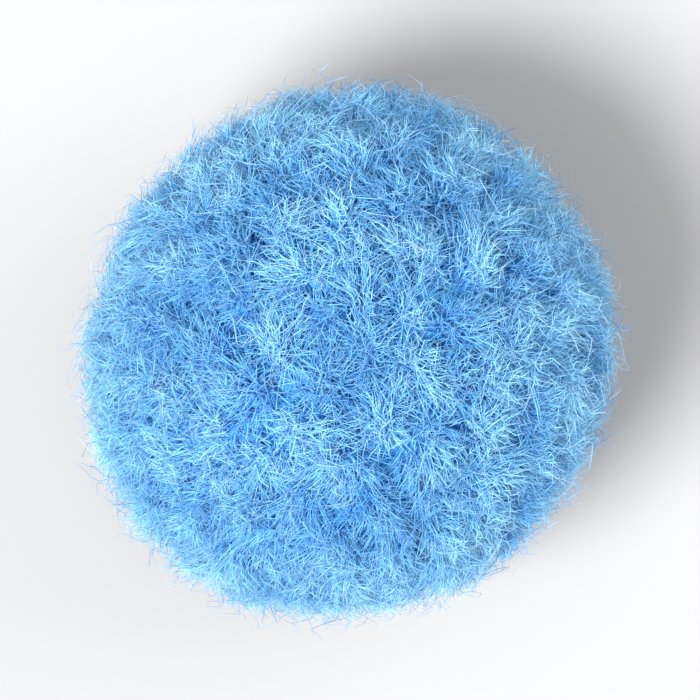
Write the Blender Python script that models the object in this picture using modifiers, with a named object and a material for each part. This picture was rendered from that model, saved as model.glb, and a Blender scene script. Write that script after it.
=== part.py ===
"""A craft pom pom, about 10 mm across: acrylic yarn tied once at its middle and cut, so that its pile stands out
all round as a soft ball.

The whole pom pom is one solid. Its 240 locks of pile have four sides each and stand apart, and only their roots
are fused, at the tied middle. The locks under the ball are shorter and end level, and the pom pom rests on them.
Units are metres and +Z is up. The origin is the point of the surface right under the ball's middle.
"""

import math
import random

import bmesh
import bpy
from mathutils import Vector

OBJECT_NAME = "yarn_pom_pom"
SOLID_NAME = "pom_pom"

# Driving dimensions
PILE_RADIUS = 0.00508  # from the ball's middle to the end of an even lock
TIED_RADIUS = 0.0021  # of the fused roots round the tie
MIDDLE_HEIGHT = 0.00478  # of the ball's middle over the surface that it rests on

# The locks stand on a solid of 20 triangles. The first part-up makes each triangle into three places with four
# corners, and each further one makes every place into four.
PART_UPS = 2
LOCKS = 20 * 3 * 4 ** (PART_UPS - 1)
PLACE_WIDTH = math.sqrt(4 * math.pi / LOCKS)  # how wide a place is from the ball's middle, in radians
PLACE_DRIFT = 0.16  # how far the corners wander from even places, as a share of that width
ROOT_GAP = 0.1  # the first gap made round a lock's root, as a share of that width

# A lock's sections from its root to its cut end: how far along the lock, and how much of its place it fills.
LOCK_SECTIONS = (
    {"along": 0.00, "fills": 0.74},
    {"along": 0.80, "fills": 0.88},
    {"along": 0.92, "fills": 0.66},
    {"along": 1.00, "fills": 0.22},
)
LEVEL_END_FILLS = 0.66  # how much of its place the level end of a lock under the ball fills
UNEVEN_CUT = 0.016  # how much longer or shorter a lock is cut, as a share of the pile's radius
CUT_SEED = 5

# Where the pile is fuller or thinner than an even ball: degrees round from +X, degrees up, and millimetres more.
SWELLS = (
    {"round": 222, "up": 5, "more": 0.20},
    {"round": 138, "up": 12, "more": -0.22},
    {"round": 318, "up": -8, "more": -0.18},
    {"round": 48, "up": 20, "more": -0.12},
    {"round": 265, "up": 60, "more": 0.08},
)
SWELL_SPREAD = math.radians(26)

YARN_COLOUR = (0.141, 0.418, 0.768, 1.0)  # light blue
YARN_ROUGHNESS = 0.9


def clear_scene():
    for old in list(bpy.data.objects):
        bpy.data.objects.remove(old)


def direction(swell):
    """The unit vector from the ball's middle towards a swell."""
    turn, rise = math.radians(swell["round"]), math.radians(swell["up"])
    return Vector((math.cos(turn) * math.cos(rise), math.sin(turn) * math.cos(rise), math.sin(rise)))


def pile_reach(way):
    """How far the pile reaches from the ball's middle this way: an even ball with soft swells added."""
    reach = PILE_RADIUS
    for swell in SWELLS:
        turned = way.angle(direction(swell)) / SWELL_SPREAD
        reach += swell["more"] / 1000 * math.exp(-0.5 * turned**2)
    return reach


def floor_reach(way):
    """How far the surface under the ball is from the ball's middle this way."""
    return MIDDLE_HEIGHT / -way.z if way.z < 0 else math.inf


def part_up_a_ball():
    """A ball with one face for each lock, whose corners wander a little. Its first lock points straight down."""
    ball = bmesh.new()
    bmesh.ops.create_icosphere(ball, subdivisions=1, radius=1)
    mesh = bpy.data.meshes.new("triangles")
    ball.to_mesh(mesh)
    triangles = bpy.data.objects.new("triangles", mesh)
    bpy.context.scene.collection.objects.link(triangles)
    part_up = triangles.modifiers.new("part up", "SUBSURF")
    part_up.levels = part_up.render_levels = PART_UPS
    ball.clear()
    ball.from_object(triangles, bpy.context.evaluated_depsgraph_get())
    bpy.data.objects.remove(triangles)
    bpy.data.meshes.remove(mesh)

    drift = random.Random(CUT_SEED)
    for corner in ball.verts:
        aside = Vector([drift.uniform(-1, 1) for _ in range(3)]) * PLACE_WIDTH * PLACE_DRIFT
        corner.co = (corner.co.normalized() + aside).normalized() * TIED_RADIUS
    ball.faces.ensure_lookup_table()
    first_way = ball.faces[0].calc_center_median()
    turn = first_way.rotation_difference(Vector((0, 0, -1)))
    bmesh.ops.rotate(ball, verts=ball.verts, matrix=turn.to_matrix())
    return ball


def place_section(face, place, section, cut):
    """Moves a lock's end face to one of its sections. A lock that meets the surface is shorter, with a level end.

    place holds the ways from the ball's middle to the corners of the lock's place.
    """
    heart = sum(place, Vector()).normalized()
    level = section["along"] == 1 and floor_reach(heart) < pile_reach(heart) * cut
    fills = LEVEL_END_FILLS if level else section["fills"]
    for corner in face.verts:
        own = min(place, key=lambda way: (way - corner.co.normalized()).length)
        way = heart.lerp(own, fills).normalized()
        end = min(pile_reach(way) * cut, floor_reach(way))
        corner.co = way * (TIED_RADIUS + (end - TIED_RADIUS) * section["along"])


def grow_lock(pile, face, cut):
    """Grows one lock out of its face of the tied middle, a section at a time."""
    place = [corner.co.normalized() for corner in face.verts]
    bmesh.ops.inset_individual(pile, faces=[face], thickness=TIED_RADIUS * PLACE_WIDTH * ROOT_GAP)
    place_section(face, place, LOCK_SECTIONS[0], cut)
    for section in LOCK_SECTIONS[1:]:
        face = bmesh.ops.extrude_discrete_faces(pile, faces=[face])["faces"][0]
        place_section(face, place, section, cut)


def make_yarn():
    yarn = bpy.data.materials.new("yarn")
    yarn.use_nodes = True
    shader = yarn.node_tree.nodes["Principled BSDF"]
    shader.inputs["Base Color"].default_value = YARN_COLOUR
    shader.inputs["Roughness"].default_value = YARN_ROUGHNESS
    shader.inputs["Metallic"].default_value = 0
    return yarn


def make_pom_pom():
    """The one solid: every lock grown out of the tied middle, and the ball set on its surface."""
    pile = part_up_a_ball()
    cuts = random.Random(CUT_SEED)
    for face in list(pile.faces):
        grow_lock(pile, face, 1 + cuts.uniform(-UNEVEN_CUT, UNEVEN_CUT))
    mesh = bpy.data.meshes.new(SOLID_NAME)
    pile.to_mesh(mesh)
    pile.free()
    mesh.materials.append(make_yarn())

    solid = bpy.data.objects.new(SOLID_NAME, mesh)
    solid.location.z = MIDDLE_HEIGHT
    return solid


def main():
    clear_scene()
    part = bpy.data.collections.new(OBJECT_NAME)
    bpy.context.scene.collection.children.link(part)
    part.objects.link(make_pom_pom())


main()
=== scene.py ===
"""A light blue craft pom pom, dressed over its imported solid.

The sections follow the pom pom from the inside out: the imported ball, the felted under-pile, the undercoat,
the cut ends of the pile and the loose fuzz. The table, the camera and the lights come last. Lengths are in
metres.
"""

import bpy
import numpy as np
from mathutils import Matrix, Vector


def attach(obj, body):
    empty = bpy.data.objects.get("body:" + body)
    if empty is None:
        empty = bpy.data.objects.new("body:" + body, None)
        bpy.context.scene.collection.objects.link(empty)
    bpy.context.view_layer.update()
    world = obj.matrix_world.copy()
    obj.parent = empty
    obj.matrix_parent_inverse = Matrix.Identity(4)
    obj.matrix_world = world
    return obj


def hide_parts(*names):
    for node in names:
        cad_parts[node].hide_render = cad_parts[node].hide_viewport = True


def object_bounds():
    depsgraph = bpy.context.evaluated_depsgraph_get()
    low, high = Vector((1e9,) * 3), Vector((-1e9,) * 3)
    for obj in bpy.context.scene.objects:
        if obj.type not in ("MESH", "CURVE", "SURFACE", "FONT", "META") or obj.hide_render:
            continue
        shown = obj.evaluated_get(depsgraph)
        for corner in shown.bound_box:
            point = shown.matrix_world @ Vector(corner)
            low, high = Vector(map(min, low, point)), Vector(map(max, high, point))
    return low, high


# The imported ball: one solid of yarn locks, tied at its middle, cut round and resting on a small flat foot. It
# stands on z = 0 with its middle over the origin. Its height gives the size of everything here, and the ends
# of its locks give the places of the tufts.
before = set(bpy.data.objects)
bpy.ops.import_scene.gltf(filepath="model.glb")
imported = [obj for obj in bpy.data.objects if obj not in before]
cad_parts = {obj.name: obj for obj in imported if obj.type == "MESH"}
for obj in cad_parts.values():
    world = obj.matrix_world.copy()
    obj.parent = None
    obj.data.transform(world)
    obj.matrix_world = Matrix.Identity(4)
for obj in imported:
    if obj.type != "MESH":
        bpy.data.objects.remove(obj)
packed_low, packed_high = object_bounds()

MM = 0.001
FLATTENED = 0.3 * MM  # how much lower the ball sits than it would on one point
ABOVE_PILE = 0.02 * MM  # how far the longest lock's end stands over the even pile
BALL_RADIUS = (packed_high.z + FLATTENED) / 2 - ABOVE_PILE
MIDDLE_HEIGHT = BALL_RADIUS - FLATTENED
SWELLS = (  # where the pile is fuller or thinner: degrees round from +X, degrees up, and how much more
    {"round": 222, "up": 5, "more": 0.20 * MM},
    {"round": 138, "up": 12, "more": -0.22 * MM},
    {"round": 318, "up": -8, "more": -0.18 * MM},
    {"round": 48, "up": 20, "more": -0.12 * MM},
    {"round": 265, "up": 60, "more": 0.08 * MM},
)
SWELL_SPREAD = np.radians(26)
PILE_GIVE = 0.05 * MM  # how softly the pile gives where it is pressed on the table
END_FACING = 0.9  # the least cosine between the facing of a lock's end and its way
END_DISTANCE = 0.8  # the least distance of a lock's end from the ball's middle, over the radius
END_WIDTH = 0.55 * MM  # wider than a lock's end, and less than from one lock's end to the next
WAY_DIGITS = 4  # coarse enough for the locks to be in the same order each time


def unit(vectors):
    """Each vector divided by its own length."""
    return vectors / np.linalg.norm(vectors, axis=-1, keepdims=True)


def pile_reach(ways):
    """How far the pile reaches each way from the middle: the radius, and a soft bell at each swell."""
    reach = np.full(ways.shape[:-1], BALL_RADIUS)
    for swell in SWELLS:
        turn, rise = np.radians(swell["round"]), np.radians(swell["up"])
        towards = np.array([np.cos(turn) * np.cos(rise), np.sin(turn) * np.cos(rise), np.sin(rise)])
        turned = np.arccos(np.clip(ways @ towards, -1, 1)) / SWELL_SPREAD
        reach += swell["more"] * np.exp(-0.5 * turned**2)
    return reach


def place(ways, reaches, thickness):
    """Points at a distance each way from the ball's middle. What would sink into the table is bent flat: a
    height h over half the thickness becomes s ln(1 + exp(h / s)), where s is how softly the pile gives."""
    points = ways * reaches[..., None]
    height = points[..., 2] + MIDDLE_HEIGHT - thickness / 2
    points[..., 2] = thickness / 2 + PILE_GIVE * np.logaddexp(0, height / PILE_GIVE)
    return points


def lock_ways(mesh):
    """The way to the end of each lock, in sorted order. A lock's end is two triangles side by side, far out
    and facing along their way, and its way is that of the mean of their middles."""
    points = np.empty(len(mesh.vertices) * 3, np.float32)
    mesh.vertices.foreach_get("co", points)
    corners = np.empty(len(mesh.loops), np.int32)
    mesh.loops.foreach_get("vertex_index", corners)
    triangles = (points.reshape(-1, 3) - (0, 0, MIDDLE_HEIGHT))[corners].reshape(-1, 3, 3)
    middles = triangles.mean(axis=1)
    facings = unit(np.cross(triangles[:, 1] - triangles[:, 0], triangles[:, 2] - triangles[:, 0]))
    is_across = (facings * unit(middles)).sum(axis=-1) > END_FACING
    is_far_out = np.linalg.norm(middles, axis=-1) > END_DISTANCE * BALL_RADIUS
    ends = middles[is_across & is_far_out]
    is_same_lock = np.linalg.norm(ends[:, None] - ends[None], axis=-1) < END_WIDTH
    return np.unique(unit(is_same_lock.astype(float) @ ends).round(WAY_DIGITS), axis=0)


# The under-pile: deep in the ball the fibres lie so close that they make a soft felted mass. The yarn stands
# in one tuft for each packed lock, the opened end of a strand whose plies have come apart. A tuft is longer
# than wide, as its fibres lie over a little, and the mass has a groove between every two of them.
TUFT_WANDER = 0.10  # how far a tuft strays from its lock, over the distance between neighbours
TUFT_HALF_LINE = 0.05  # half the length of a tuft's middle line, over the radius
TUFT_LEAN = 0.075  # how far a tuft's end lies over, over the radius
TUFT_LEANS = (0.6, 1.4)  # the least and the most that a tuft lies over, as a share of the usual lean
TUFT_UNEVEN = 0.010  # how much longer or shorter a tuft is than the next, over the radius
TUFT_FLOW = 2.2  # how fast the way that the tufts lie turns over the ball
TUFT_TURN = 1.5  # how much a tuft turns aside from its neighbours
TUFT_SEED = 7
PLIES = 3
PLY_OFF = 0.045  # how far a ply lies from its tuft's middle, over the radius
PLY_OFFS = (0.7, 1.3)  # the least and the most that a ply lies off, as a share of the usual
PLY_TURN = 0.3  # how unevenly the plies stand round their tuft, in radians
PLY_HALF_LINE = 0.03  # half the length of a ply's middle line, over the radius
PLY_UNEVEN = 0.006  # how much longer or shorter a ply is than the next, over the radius
LEAST_SQUARE = 1e-8  # of a distance to a middle line, over the radius, so that none counts as nothing
UNDER_REACH = 0.89  # how far out the felted mass is at a tuft's middle, over the pile's reach
UNDER_DENT = 0.09  # how deep its grooves are
UNDER_ROWS, UNDER_COLUMNS = 60, 120
FELT_GRAIN = 14000  # how fine the mass's own grain is, in spots over a metre
FELT_RELIEF = 0.1 * MM
FELT_DEEP, FELT_HIGH = 0.35, 0.68  # where the grain turns from the deep blue of painted shade, and where it is all yarn blue
# the grain's dark spots, far darker than the yarn: painted shade deep in the pile, under the fibres
DEEP_SHADE_BLUE = (0.03, 0.16, 0.42, 1)
YARN_BLUE = (0.10, 0.48, 0.91, 1)


def aside(ways, vectors):
    """The part of each vector that is at right angles to its way."""
    return vectors - (vectors * ways).sum(axis=-1, keepdims=True) * ways


def stray(ways, chance):
    """A random vector at right angles to each way, with lengths spread like darts from their mark."""
    return aside(ways, chance.normal(size=ways.shape))


def wander(ways, share, chance):
    """Ways moved aside at random by a share of the usual distance between neighbours, which is that between
    the middles of as many equal squares as there are ways, laid over the ball."""
    return unit(ways + stray(ways, chance) * share * np.sqrt(4 * np.pi / len(ways)))


def flow(ways, chance):
    """A smooth vector for each way: each of its parts is the sine of a wave that runs across the ball."""
    waves = chance.normal(size=(3, 3)) * TUFT_FLOW
    return np.sin(ways @ waves + chance.uniform(0, 2 * np.pi, size=3))


tuft_chance = np.random.default_rng(TUFT_SEED)
tuft_ways = wander(lock_ways(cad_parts["pom_pom"].data), TUFT_WANDER, tuft_chance)
tufts = len(tuft_ways)
tuft_flow = unit(aside(tuft_ways, flow(tuft_ways, tuft_chance)))
tuft_lays = unit(tuft_flow + stray(tuft_ways, tuft_chance) * TUFT_TURN)
tuft_leans = tuft_lays * TUFT_LEAN * tuft_chance.uniform(*TUFT_LEANS, size=(tufts, 1))
tuft_heights = tuft_chance.normal(size=tufts) * TUFT_UNEVEN
tuft_tones = tuft_chance.uniform(-1, 1, size=tufts)

ply_turns = tuft_chance.uniform(0, 2 * np.pi, size=(tufts, 1)) + np.arange(PLIES) * 2 * np.pi / PLIES
ply_turns = (ply_turns + tuft_chance.normal(size=(tufts, PLIES)) * PLY_TURN)[..., None]
crosswise = np.cross(tuft_ways, tuft_lays)
ply_sides = tuft_lays[:, None] * np.cos(ply_turns) + crosswise[:, None] * np.sin(ply_turns)
ply_offs = PLY_OFF * tuft_chance.uniform(*PLY_OFFS, size=(tufts, PLIES, 1))
ply_ways = unit(tuft_ways[:, None] + ply_sides * ply_offs).reshape(-1, 3)
ply_lays = np.repeat(tuft_lays, PLIES, axis=0)
ply_heights = tuft_chance.normal(size=tufts * PLIES) * PLY_UNEVEN
ply_tones = tuft_chance.uniform(-1, 1, size=tufts * PLIES)


def find_nearest(ways, middles, lays, half_line):
    """The nearest middle line to each way, and how near the edge between it and the next one. The square of
    the distance from a way w to a line is 2 - 2 w.m + a (a - 2 w.l), where m is the line's middle, l is its
    lay, and a is w.l kept within the line. With the two least distances d1 and d2 the nearness to the edge
    is 2 d1 / (d1 + d2): 0 on the line, and 1 half way to the next."""
    ways = ways.astype(np.float32)
    beside = ways @ lays.T.astype(np.float32)
    along = np.clip(beside, -half_line, half_line)
    squares = 2 - 2 * ways @ middles.T.astype(np.float32) + along * (along - 2 * beside)
    nearest_two = np.argpartition(squares, 1, axis=1)[:, :2]
    gaps = np.sqrt(np.maximum(np.take_along_axis(squares, nearest_two, axis=1), LEAST_SQUARE))
    order = np.argsort(gaps, axis=1)
    nearest = np.take_along_axis(nearest_two, order, axis=1)[:, 0]
    return nearest, 2 * gaps.min(axis=1) / gaps.sum(axis=1)


def find_tufts(ways):
    """The tuft that each way lies in, and how near its edge: the nearest of the tufts' middle lines."""
    return find_nearest(ways, tuft_ways, tuft_lays, TUFT_HALF_LINE)


def find_plies(ways):
    """The ply that each way lies in, and how near its edge: the nearest of the plies' middle lines."""
    return find_nearest(ways, ply_ways, ply_lays, PLY_HALF_LINE)


def make_piece(name, points, corners, corner_counts):
    """A mesh object from whole arrays: the points, the corners of all faces and each face's corner count."""
    mesh = bpy.data.meshes.new(name)
    mesh.vertices.add(len(points))
    mesh.vertices.foreach_set("co", points.astype(np.float32).ravel())
    mesh.loops.add(len(corners))
    mesh.loops.foreach_set("vertex_index", corners.astype(np.int32))
    mesh.polygons.add(len(corner_counts))
    starts = np.cumsum(corner_counts) - corner_counts
    mesh.polygons.foreach_set("loop_start", starts.astype(np.int32))
    mesh.update(calc_edges=True)
    mesh.shade_smooth()
    piece = bpy.data.objects.new(name, mesh)
    bpy.context.scene.collection.objects.link(piece)
    return piece


down, around = np.meshgrid(
    np.linspace(0, np.pi, UNDER_ROWS + 1)[1:-1],
    np.linspace(0, 2 * np.pi, UNDER_COLUMNS, endpoint=False),
    indexing="ij",
)
rows = np.stack([np.sin(down) * np.cos(around), np.sin(down) * np.sin(around), np.cos(down)], axis=-1)
under_ways = np.concatenate([[[0, 0, 1]], rows.reshape(-1, 3), [[0, 0, -1]]])
_, under_edge = find_tufts(under_ways)
under_points = place(under_ways, pile_reach(under_ways) * (UNDER_REACH - UNDER_DENT * under_edge**2), 0)
index = 1 + np.arange((UNDER_ROWS - 1) * UNDER_COLUMNS).reshape(UNDER_ROWS - 1, UNDER_COLUMNS)
beside = np.roll(index, -1, axis=1)
quads = np.stack([index[:-1], index[1:], beside[1:], beside[:-1]], axis=-1).reshape(-1, 4)
top_fan = np.stack([np.zeros(UNDER_COLUMNS, int), index[0], beside[0]], axis=-1)
bottom_fan = np.stack([np.full(UNDER_COLUMNS, index[-1, -1] + 1), beside[-1], index[-1]], axis=-1)
under_pile = make_piece(
    "under_pile",
    under_points,
    np.concatenate([quads.ravel(), top_fan.ravel(), bottom_fan.ravel()]),
    np.concatenate([np.full(len(quads), 4), np.full(2 * UNDER_COLUMNS, 3)]),
)

felt = bpy.data.materials.new("felted_yarn")
felt.use_nodes = True
nodes, links = felt.node_tree.nodes, felt.node_tree.links
shader = nodes["Principled BSDF"]
shader.inputs["Roughness"].default_value = 0.95
shader.inputs["Specular IOR Level"].default_value = 0.1
places = nodes.new("ShaderNodeTexCoord")
grain = nodes.new("ShaderNodeTexNoise")
grain.inputs["Scale"].default_value = FELT_GRAIN
grain.inputs["Detail"].default_value = 4
links.new(places.outputs["Object"], grain.inputs["Vector"])
# the grain runs from painted shade deep in the pile to the yarn's own blue
felt_blue = nodes.new("ShaderNodeValToRGB")
felt_blue.color_ramp.elements[0].position = FELT_DEEP
felt_blue.color_ramp.elements[0].color = DEEP_SHADE_BLUE
felt_blue.color_ramp.elements[1].position = FELT_HIGH
felt_blue.color_ramp.elements[1].color = YARN_BLUE
links.new(grain.outputs["Fac"], felt_blue.inputs["Fac"])
links.new(felt_blue.outputs["Color"], shader.inputs["Base Color"])
relief = nodes.new("ShaderNodeBump")
relief.inputs["Strength"].default_value = 1
relief.inputs["Distance"].default_value = FELT_RELIEF
links.new(grain.outputs["Fac"], relief.inputs["Height"])
links.new(relief.outputs["Normal"], shader.inputs["Normal"])
under_pile.data.materials.append(felt)
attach(under_pile, "root")
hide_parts("pom_pom")


# The undercoat: the short dense part of the pile, which fills the ball between the longer ends. It is crimped
# acrylic, as all the pile is, and each fibre is a thin three-sided tube that comes to a point.
UNDERCOAT = {
    "wisps": 16000,
    "fibres": 3,  # in each wisp
    "rings": 1,  # of points round each fibre, besides the one at its tip
    "root": 0.80,  # where a fibre starts, over the pile's reach
    "end": 0.999,  # and where it ends, at the middle of its ply
    "width": 0.050 * MM,
    "dome": 0.08,  # how much lower a fibre ends at the edge of its tuft
    "ply_dome": 0.035,  # and how much lower at the edge of its ply
    "uneven": 0.008,  # how much longer or shorter a fibre is cut than the next
    "escape": 0,  # how far the few that the shears missed stand out
    "splay": 0.35,  # how far the roots gather to their tuft's middle
    "spread": 0.02,  # how far a wisp's fibres lie apart
    "tuft_lean": 0.4,  # how far a fibre leans with its tuft, over the tuft's own lean
    "wisp_lean": 0.03,  # how far it leans with its wisp
    "lean": 0.06,  # and how far by itself
    "waves": 0.6,  # how many waves of crimp a fibre has
    "crimp": 0.02,  # and how wide they are
}
# the tips' colour, paler than the yarn blue of the roots: painted light on the tips, painted shade at the roots
LIT_TIP_BLUE = (0.39, 0.80, 0.99, 1)
TONE_AND_SHADE_BLUE = (0.26, 0.52, 0.76, 1)  # what the darkest tone leaves of a colour, for the random tones and for the painted shade in the grooves
WISP_WANDER = 0.45  # how far a wisp strays from its even place, over the distance between neighbours
GOLDEN_ANGLE = np.pi * (3 - np.sqrt(5))
CRIMP_DIRECTIONS = 2
MOST_WIDE = 1.25  # how much wider than usual the widest fibre is
FIBRE_TAPER = 0.6  # how much of its width a fibre loses from its root to its tip
MOST_ESCAPE = 3.5  # the root of the most that a fibre escapes, over the usual
USUAL_TONE = 0.73
TUFT_TONE, PLY_TONE, FIBRE_TONE = 0.33, 0.22, 0.10  # how much tufts, plies and fibres differ in tone
TUFT_PAINTED_SHADE, PLY_PAINTED_SHADE = 0.6, 0.25  # how much darker a fibre is painted at the edge of its tuft and of its ply: painted shade in the grooves between them
SIDE_BAND = 0.06  # the width of the colour map that a fibre's three sides share
ROOT_LIFT = 0.1  # how far one corner of a root's face is lifted in the colour map, in rings


def draw_fibres(coat, root_ways, end_ways, ends, leans, chance):
    """Curved lines, one a fibre. At share s of a fibre its way from the ball's middle is the root's way
    moved to the end's by s, plus its lean times s squared, plus its crimp times s and a sine wave that
    starts at nothing, in two random directions. Its distance from the middle goes evenly from root to end."""
    share = np.linspace(0, 1, coat["rings"] + 1)[None, :, None]
    ways = root_ways[:, None] * (1 - share) + end_ways[:, None] * share + leans[:, None] * share**2
    for _ in range(CRIMP_DIRECTIONS):
        phase = chance.uniform(0, 2 * np.pi, size=(len(end_ways), 1, 1))
        wave = np.sin(phase + share * 2 * np.pi * coat["waves"]) - np.sin(phase)
        ways = ways + stray(end_ways, chance)[:, None] * wave * share * coat["crimp"]
    ways = unit(ways)
    reach = pile_reach(ways) * (coat["root"] * (1 - share[..., 0]) + ends[:, None] * share[..., 0])
    return place(ways, reach, coat["width"] * MOST_WIDE)


def thicken_fibres(lines, coat, chance):
    """Three points round each line at every ring, and one at its tip. At share s the tube's radius is half
    the width times 1 less the taper times s, and a quarter more or less from fibre to fibre."""
    count, rings = len(lines), coat["rings"]
    along = unit(np.gradient(lines, axis=1))
    across = unit(np.cross(along, unit(chance.normal(size=(count, 1, 3)))))
    upright = np.cross(along, across)
    turns = (np.arange(3) * 2 * np.pi / 3)[:, None]
    circle = across[:, :-1, None] * np.cos(turns) + upright[:, :-1, None] * np.sin(turns)
    taper = 1 - FIBRE_TAPER * np.arange(rings) / rings
    radius = coat["width"] / 2 * chance.uniform(2 - MOST_WIDE, MOST_WIDE, size=(count, 1)) * taper
    tubes = lines[:, :-1, None] + circle * radius[..., None, None]
    return np.concatenate([tubes.reshape(count, rings * 3, 3), lines[:, -1:]], axis=1)


def fibre_faces(rings):
    """The faces of one fibre: four-sided ones from ring to ring, three that meet at the tip, and one that
    closes the root. A corner is given as its ring and its side, where side 3 is side 0 again and the tip is
    half way between two sides."""
    ring, side = np.meshgrid(np.arange(rings - 1), np.arange(3), indexing="ij")
    walls = np.stack([ring[..., None] + [0, 0, 1, 1], side[..., None] + [0, 1, 1, 0]], axis=-1).reshape(-1, 2)
    tip_sides = np.arange(3)[:, None] + [0, 1, 0.5]
    tip_rings = np.broadcast_to([rings - 1, rings - 1, rings], tip_sides.shape)
    tips = np.stack([tip_rings, tip_sides], axis=-1).reshape(-1, 2)
    root = np.array([[0, 2], [0, 1], [0, 0]])
    corner_counts = np.concatenate([np.full(3 * (rings - 1), 4), np.full(4, 3)])
    return np.concatenate([walls, tips, root]), corner_counts


def map_tones_and_shade(piece, tones_and_shade, ring, side, rings):
    """The fibres' colour map: u is a fibre's tone, with the painted shade of the grooves in it, with its three
    sides next to each other in a narrow band, and v runs from 0 at the root to 1 at the tip. The root's face is
    lifted a little at one corner."""
    v = ring / rings
    v[-2] += ROOT_LIFT / rings
    u = tones_and_shade[:, None] * (1 - SIDE_BAND) + side[None] / 3 * SIDE_BAND
    tone_map = piece.data.uv_layers.new(name="OFBake")
    both = np.stack([u, np.broadcast_to(v, u.shape)], axis=-1)
    tone_map.uv.foreach_set("vector", both.astype(np.float32).ravel())


def even_ways(count):
    """Ways spread evenly over a ball: the k-th of a golden-angle spiral down equal steps of height."""
    step = np.arange(count) + 0.5
    height = 1 - 2 * step / count
    ring = np.sqrt(1 - height**2)
    turn = step * GOLDEN_ANGLE
    return np.stack([ring * np.cos(turn), ring * np.sin(turn), height], axis=-1)


def lay_coat(name, coat, material, seed):
    """One piece of the pile. Its wisps lie evenly over the ball, and the few fibres of each spread round its
    way. A fibre ends lower, and is painted darker as painted shade in the grooves, by the square of its
    nearness to the edge of its tuft and to that of its ply, and it leans with its tuft, with its wisp and by
    itself."""
    chance = np.random.default_rng(seed)
    wisp_ways = wander(even_ways(coat["wisps"]), WISP_WANDER, chance)
    wisp_leans = stray(wisp_ways, chance) * coat["wisp_lean"]
    wisp = np.repeat(np.arange(coat["wisps"]), coat["fibres"])
    count = len(wisp)
    end_ways = unit(wisp_ways[wisp] + stray(wisp_ways[wisp], chance) * coat["spread"])
    tuft, tuft_edge = find_tufts(end_ways)
    ply, ply_edge = find_plies(end_ways)
    root_ways = unit(end_ways * (1 - coat["splay"]) + tuft_ways[tuft] * coat["splay"])
    ends = coat["end"] + tuft_heights[tuft] + ply_heights[ply] + chance.normal(size=count) * coat["uneven"]
    ends -= coat["dome"] * tuft_edge**2 + coat["ply_dome"] * ply_edge**2
    ends += np.minimum(chance.exponential(size=count), MOST_ESCAPE) ** 2 * coat["escape"]
    tones_and_shade = USUAL_TONE + TUFT_TONE * tuft_tones[tuft] + PLY_TONE * ply_tones[ply]
    # painted shade: darker towards the edges of the tufts and plies, in the grooves between them
    tones_and_shade -= TUFT_PAINTED_SHADE * tuft_edge**2 + PLY_PAINTED_SHADE * ply_edge**2
    tones_and_shade += FIBRE_TONE * chance.normal(size=count)
    leans = tuft_leans[tuft] * coat["tuft_lean"] + wisp_leans[wisp] + stray(end_ways, chance) * coat["lean"]

    lines = draw_fibres(coat, root_ways, end_ways, ends, leans, chance)
    points = thicken_fibres(lines, coat, chance)
    corners, corner_counts = fibre_faces(coat["rings"])
    ring, side = corners.T
    points_each = coat["rings"] * 3 + 1
    one_fibre = np.where(ring == coat["rings"], points_each - 1, ring * 3 + side // 1 % 3)
    every_fibre = one_fibre[None] + np.arange(count)[:, None] * points_each
    piece = make_piece(name, points.reshape(-1, 3), every_fibre.ravel(), np.tile(corner_counts, count))
    map_tones_and_shade(piece, np.clip(tones_and_shade, 0, 1), ring, side, coat["rings"])
    piece.data.materials.append(material)
    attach(piece, "root")
    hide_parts("pom_pom")


def dye_and_shade_fibres(name, root_colour, lit_tip_colour):
    """A fibre's colour: it goes from the root's to the tip's along v, paler towards the tip as painted light on
    the tips and painted shade at the roots, times a tone along u, from a darker and slightly violet one to
    none, which holds the random tones and the painted shade in the grooves."""
    material = bpy.data.materials.new(name)
    material.use_nodes = True
    nodes, links = material.node_tree.nodes, material.node_tree.links
    shader = nodes["Principled BSDF"]
    shader.inputs["Roughness"].default_value = 0.6
    shader.inputs["Specular IOR Level"].default_value = 0.25
    shader.inputs["Sheen Weight"].default_value = 0.15
    shader.inputs["Sheen Roughness"].default_value = 0.5
    tone_map = nodes.new("ShaderNodeUVMap")
    tone_map.uv_map = "OFBake"
    parts = nodes.new("ShaderNodeSeparateXYZ")
    links.new(tone_map.outputs["UV"], parts.inputs["Vector"])
    # painted light and shade along each fibre: the yarn blue at the root, paler towards the tip
    lengthwise = nodes.new("ShaderNodeValToRGB")
    lengthwise.color_ramp.elements[0].color = root_colour
    lengthwise.color_ramp.elements[1].color = lit_tip_colour
    links.new(parts.outputs["Y"], lengthwise.inputs["Fac"])
    tones_and_shade = nodes.new("ShaderNodeValToRGB")
    tones_and_shade.color_ramp.elements[0].color = TONE_AND_SHADE_BLUE
    tones_and_shade.color_ramp.elements[1].color = (1, 1, 1, 1)
    links.new(parts.outputs["X"], tones_and_shade.inputs["Fac"])
    dye_and_shade = nodes.new("ShaderNodeMix")
    dye_and_shade.data_type = "RGBA"
    dye_and_shade.blend_type = "MULTIPLY"
    dye_and_shade.inputs["Factor"].default_value = 1
    links.new(lengthwise.outputs["Color"], dye_and_shade.inputs["A"])
    links.new(tones_and_shade.outputs["Color"], dye_and_shade.inputs["B"])
    links.new(dye_and_shade.outputs["Result"], shader.inputs["Base Color"])
    return material


acrylic = dye_and_shade_fibres("acrylic_fibre", YARN_BLUE, LIT_TIP_BLUE)
lay_coat("undercoat", UNDERCOAT, acrylic, seed=11)


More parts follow.
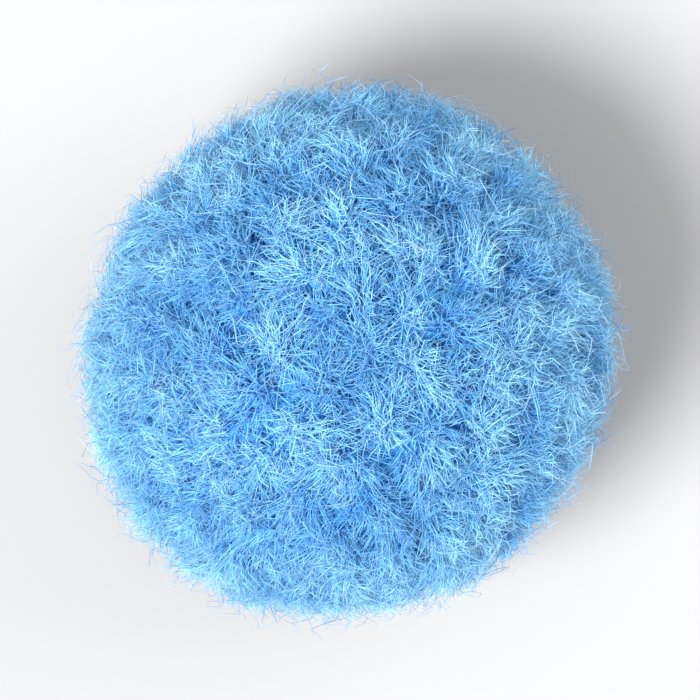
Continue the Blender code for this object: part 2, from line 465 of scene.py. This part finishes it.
# The cut ends: the longer part of the pile, crimped acrylic fibres whose ends the shears have cut to a ball
# and which bend over at its surface. They are in three pieces, each as much as one piece should hold.
CUT_ENDS = {
    "wisps": 2272,
    "fibres": 4,
    "rings": 4,
    "root": 0.86,
    "end": 1.018,
    "width": 0.036 * MM,
    "dome": 0.062,
    "ply_dome": 0.028,
    "uneven": 0.008,
    "escape": 0.0015,
    "splay": 0.45,
    "spread": 0.018,
    "tuft_lean": 0.7,
    "wisp_lean": 0.04,
    "lean": 0.022,
    "waves": 1.5,
    "crimp": 0.018,
}
CUT_END_PIECES = 3
for number in range(1, CUT_END_PIECES + 1):
    lay_coat(f"cut_ends_{number}", CUT_ENDS, acrylic, seed=20 + number)


# The fuzz: single fibres of the same acrylic that escaped the shears. They are the finest, and their tips are
# painted palest, painted light for the pale halo of a lit rim; they stand out a little past the ball in loose
# curls, so that its outline looks soft.
FUZZ = {
    "wisps": 4150,
    "fibres": 1,
    "rings": 8,
    "root": 0.92,
    "end": 1.022,
    "width": 0.020 * MM,
    "dome": 0,
    "ply_dome": 0,
    "uneven": 0.016,
    "escape": 0.0045,
    "splay": 0.2,
    "spread": 0,
    "tuft_lean": 0.5,
    "wisp_lean": 0.05,
    "lean": 0,
    "waves": 1.6,
    "crimp": 0.022,
}
# the fuzz's tips, paler than all the rest: painted light, the pale halo round the ball
FUZZ_HALO_BLUE = (0.60, 0.82, 0.99, 1)
lay_coat("fuzz", FUZZ, dye_and_shade_fibres("loose_fuzz", YARN_BLUE, FUZZ_HALO_BLUE), seed=31)


# The table: a plain matt sheet of pale paper under the ball, far wider than what the camera sees. It is just
# light enough to look white under the lights, and it throws soft light back under the ball.
TABLE_WIDTH = 4
PAPER_GREY = (0.40, 0.40, 0.40, 1)
bpy.ops.mesh.primitive_plane_add(size=TABLE_WIDTH, location=(0, 0, 0))
table = bpy.context.object
table.name = "table"
paper = bpy.data.materials.new("pale_paper")
paper.use_nodes = True
paper.node_tree.nodes["Principled BSDF"].inputs["Base Color"].default_value = PAPER_GREY
paper.node_tree.nodes["Principled BSDF"].inputs["Roughness"].default_value = 0.9
table.data.materials.append(paper)


# The camera: straight above the ball, looking down on it. It stands far off with a long lens, so that the
# ball is seen almost without perspective and fills most of the picture.
CAMERA_HEIGHT = 0.30  # over the ball's middle
SHOWN_WIDTH = 13.2 * MM
SENSOR_WIDTH = 36  # in millimetres, as a camera's are
NEAREST_SEEN = 0.01
camera_data = bpy.data.cameras.new("camera")
camera_data.sensor_width = SENSOR_WIDTH
camera_data.lens = SENSOR_WIDTH * CAMERA_HEIGHT / SHOWN_WIDTH
camera_data.clip_start = NEAREST_SEEN
camera = bpy.data.objects.new("camera", camera_data)
camera.location = (0, 0, MIDDLE_HEIGHT + CAMERA_HEIGHT)
bpy.context.scene.collection.objects.link(camera)
bpy.context.scene.camera = camera


# The lights: a soft key from the front left, high up, and a weaker and softer fill from the back right. The
# white room all round lights the shadows and the lower half of the ball.
LIGHTS = (
    {"name": "key", "from": (-0.39, -0.26, 0.88), "strength": 4.9, "softness": np.radians(22)},
    {"name": "fill", "from": (0.72, 0.31, 0.62), "strength": 1.3, "softness": np.radians(45)},
)
ROOM_STRENGTH = 0.85
for light in LIGHTS:
    lamp_data = bpy.data.lights.new(light["name"], "SUN")
    lamp_data.energy = light["strength"]
    lamp_data.angle = light["softness"]
    lamp = bpy.data.objects.new(light["name"], lamp_data)
    lamp.rotation_euler = Vector(light["from"]).to_track_quat("Z", "Y").to_euler()
    bpy.context.scene.collection.objects.link(lamp)

room = bpy.data.worlds.new("room")
room.use_nodes = True
room.node_tree.nodes["Background"].inputs["Color"].default_value = (1, 1, 1, 1)
room.node_tree.nodes["Background"].inputs["Strength"].default_value = ROOM_STRENGTH
bpy.context.scene.world = room
bpy.context.scene.view_settings.view_transform = "Standard"
